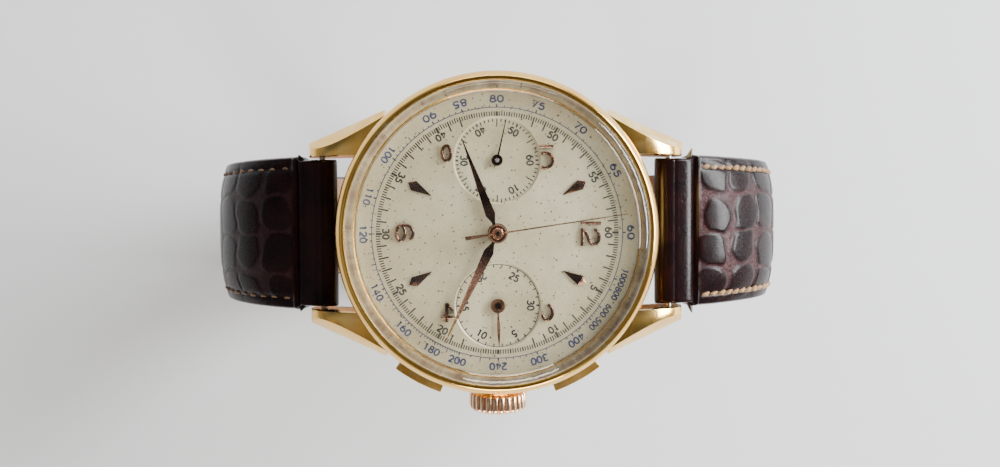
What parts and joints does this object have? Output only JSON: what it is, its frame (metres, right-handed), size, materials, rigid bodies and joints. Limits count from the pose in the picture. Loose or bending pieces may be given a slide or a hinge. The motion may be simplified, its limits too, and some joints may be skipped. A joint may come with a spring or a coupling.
{
  "type": "chronograph wristwatch",
  "caption": "Chronograph wristwatch with a round gold case, domed crystal, sunk dial registers, fluted crown, block pushers and a crocodile strap buckled into a loop.",
  "frame": {"origin": "centre of the case back's flat outer face", "axes": "+Z out through the crystal, +X to 12 o'clock, -Y out through the crown at 3 o'clock"},
  "size_m": [0.0762, 0.0403, 0.0581],
  "materials": {
    "gold": "polished, lightly worn",
    "rose_gold": "polished",
    "dark_hand": "blued",
    "steel": "satin",
    "brass": "satin",
    "gilt": "frosted gilt",
    "dial": "silvered, aged",
    "crystal": "clear domed acrylic",
    "leather": "glossy crocodile grain"
  },
  "bodies": {
    "head": {"case_middle": "gold", "bezel": "gold", "crystal": "crystal", "case_back": "gold", "movement_ring": "brass", "crown_tube": "steel", "dial": "dial", "marker_1": "rose_gold", "marker_5": "rose_gold", "marker_7": "rose_gold", "marker_11": "rose_gold", "numeral_12_tens": "rose_gold", "numeral_12_units": "rose_gold", "numeral_2": "rose_gold", "numeral_4": "rose_gold", "numeral_6": "rose_gold", "numeral_8": "rose_gold", "numeral_10_tens": "rose_gold", "numeral_10_units": "rose_gold", "main_plate": "gilt", "barrel_bridge": "gilt", "train_bridge": "gilt", "balance_cock": "gilt", "casing_screw_1": "steel", "casing_screw_2": "steel", "hairspring": "dark_hand", "strap_buckle_side": "leather", "strap_hole_side": "leather", "spring_bar_12": "steel", "spring_bar_6": "steel", "buckle_bar": "steel", "fixed_keeper": "leather"},
    "small_seconds": {"fourth_wheel": "brass", "small_seconds_hand": "dark_hand"},
    "third_wheel": {"third_wheel": "brass"},
    "centre_wheel": {"centre_wheel": "brass"},
    "barrel": {"barrel": "brass", "mainspring": "steel"},
    "escape_wheel": {"escape_wheel": "steel"},
    "minute": {"cannon_pinion": "steel", "minute_hand": "rose_gold"},
    "minute_wheel": {"minute_wheel": "brass"},
    "hour": {"hour_wheel": "brass", "hour_hand": "dark_hand"},
    "chronograph": {"chronograph_wheel": "brass", "sweep_seconds_hand": "rose_gold"},
    "minute_counter": {"minute_recording_wheel": "brass", "minute_counter_hand": "rose_gold"},
    "balance": {"balance_wheel": "brass"},
    "pallet_fork": {"pallet_fork": "steel"},
    "clutch": {"clutch_wheel": "steel"},
    "crown": {"crown": "gold", "winding_stem": "steel"},
    "crown_wheel": {"crown_wheel": "steel"},
    "ratchet": {"ratchet_wheel": "steel"},
    "start_stop": {"pusher_start_stop": "gold"},
    "reset": {"pusher_reset": "gold"},
    "buckle": {"buckle_frame": "gold"},
    "tongue": {"buckle_tongue": "gold"},
    "free_keeper": {"free_keeper": "leather"}
  },
  "joints": [
    {"name": "running_seconds_turn", "type": "hinge", "parent": "head", "child": "small_seconds", "pos_m": [0, 0.00835, 0.0076], "axis": [0, 0, -1], "continuous": true},
    {"name": "third_wheel_turn", "type": "hinge", "parent": "head", "child": "third_wheel", "pos_m": [-0.00131, 0.00431, 0.0042], "axis": [0, 0, -1], "continuous": true},
    {"name": "centre_wheel_turn", "type": "hinge", "parent": "head", "child": "centre_wheel", "pos_m": [0, 0, 0.0047], "axis": [0, 0, -1], "continuous": true},
    {"name": "barrel_turn", "type": "hinge", "parent": "head", "child": "barrel", "pos_m": [0.00524, -0.00409, 0.0038], "axis": [0, 0, -1], "continuous": true},
    {"name": "escape_wheel_turn", "type": "hinge", "parent": "head", "child": "escape_wheel", "pos_m": [-0.00363, 0.00835, 0.0046], "axis": [0, 0, -1], "continuous": true},
    {"name": "minute_hand_turn", "type": "hinge", "parent": "head", "child": "minute", "pos_m": [0, 0, 0.0086], "axis": [0, 0, -1], "continuous": true},
    {"name": "minute_wheel_turn", "type": "hinge", "parent": "head", "child": "minute_wheel", "pos_m": [0.00248, 0.0009, 0.0065], "axis": [0, 0, -1], "continuous": true},
    {"name": "hour_hand_turn", "type": "hinge", "parent": "head", "child": "hour", "pos_m": [0, 0, 0.0081], "axis": [0, 0, -1], "continuous": true},
    {"name": "sweep_seconds_turn", "type": "hinge", "parent": "head", "child": "chronograph", "pos_m": [0, 0, 0.0091], "axis": [0, 0, -1], "continuous": true},
    {"name": "minute_counter_turn", "type": "hinge", "parent": "head", "child": "minute_counter", "pos_m": [0, -0.00835, 0.0076], "axis": [0, 0, -1], "continuous": true},
    {"name": "balance_swing", "type": "hinge", "parent": "head", "child": "balance", "pos_m": [-0.0088, 0.0026, 0.0035], "axis": [0, 0, 1], "range_deg": [-270, 270], "stiffness_Nm_per_rad": 0.0000004},
    {"name": "pallet_fork_swing", "type": "hinge", "parent": "head", "child": "pallet_fork", "pos_m": [-0.00577, 0.00597, 0.0044], "axis": [0, 0, 1], "range_deg": [-5, 5]},
    {"name": "crown_turn", "type": "hinge", "parent": "head", "child": "clutch", "pos_m": [0, -0.0126, 0.004], "axis": [0, -1, 0], "continuous": true},
    {"name": "crown_pull", "type": "slide", "parent": "clutch", "child": "crown", "axis": [0, -1, 0], "range_m": [0, 0.0009]},
    {"name": "crown_wheel_turn", "type": "hinge", "parent": "head", "child": "crown_wheel", "pos_m": [0.0011, -0.0107, 0.0022], "axis": [0, 0, 1], "continuous": true},
    {"name": "ratchet_wheel_turn", "type": "hinge", "parent": "head", "child": "ratchet", "pos_m": [0.00524, -0.00409, 0.0022], "axis": [0, 0, 1], "continuous": true},
    {"name": "start_stop_press", "type": "slide", "parent": "head", "child": "start_stop", "axis": [-0.4772, 0.8788, 0], "range_m": [0, 0.0009], "stiffness_N_per_m": 150},
    {"name": "reset_press", "type": "slide", "parent": "head", "child": "reset", "axis": [0.4772, 0.8788, 0], "range_m": [0, 0.0009], "stiffness_N_per_m": 150},
    {"name": "buckle_swing", "type": "hinge", "parent": "head", "child": "buckle", "pos_m": [0.0012, 0, -0.041], "axis": [0, -1, 0], "range_deg": [0, 5]},
    {"name": "tongue_swing", "type": "hinge", "parent": "buckle", "child": "tongue", "pos_m": [0.0012, 0, -0.041], "axis": [0, -1, 0], "range_deg": [0, 4]},
    {"name": "free_keeper_slide", "type": "slide", "parent": "head", "child": "free_keeper", "axis": [1, 0, 0], "range_m": [-0.0025, 0.0025]}
  ],
  "couplings": [
    {"joint": "third_wheel_turn", "follows": "running_seconds_turn", "ratio": -0.13333},
    {"joint": "centre_wheel_turn", "follows": "running_seconds_turn", "ratio": 0.016667},
    {"joint": "barrel_turn", "follows": "running_seconds_turn", "ratio": -0.0027778},
    {"joint": "escape_wheel_turn", "follows": "running_seconds_turn", "ratio": -10},
    {"joint": "minute_hand_turn", "follows": "running_seconds_turn", "ratio": 0.016667},
    {"joint": "minute_wheel_turn", "follows": "running_seconds_turn", "ratio": -0.0055556},
    {"joint": "hour_hand_turn", "follows": "running_seconds_turn", "ratio": 0.0013889},
    {"joint": "minute_counter_turn", "follows": "sweep_seconds_turn", "ratio": 0.033333},
    {"joint": "crown_wheel_turn", "follows": "crown_turn", "ratio": 0.63636},
    {"joint": "ratchet_wheel_turn", "follows": "crown_turn", "ratio": -0.25}
  ]
}
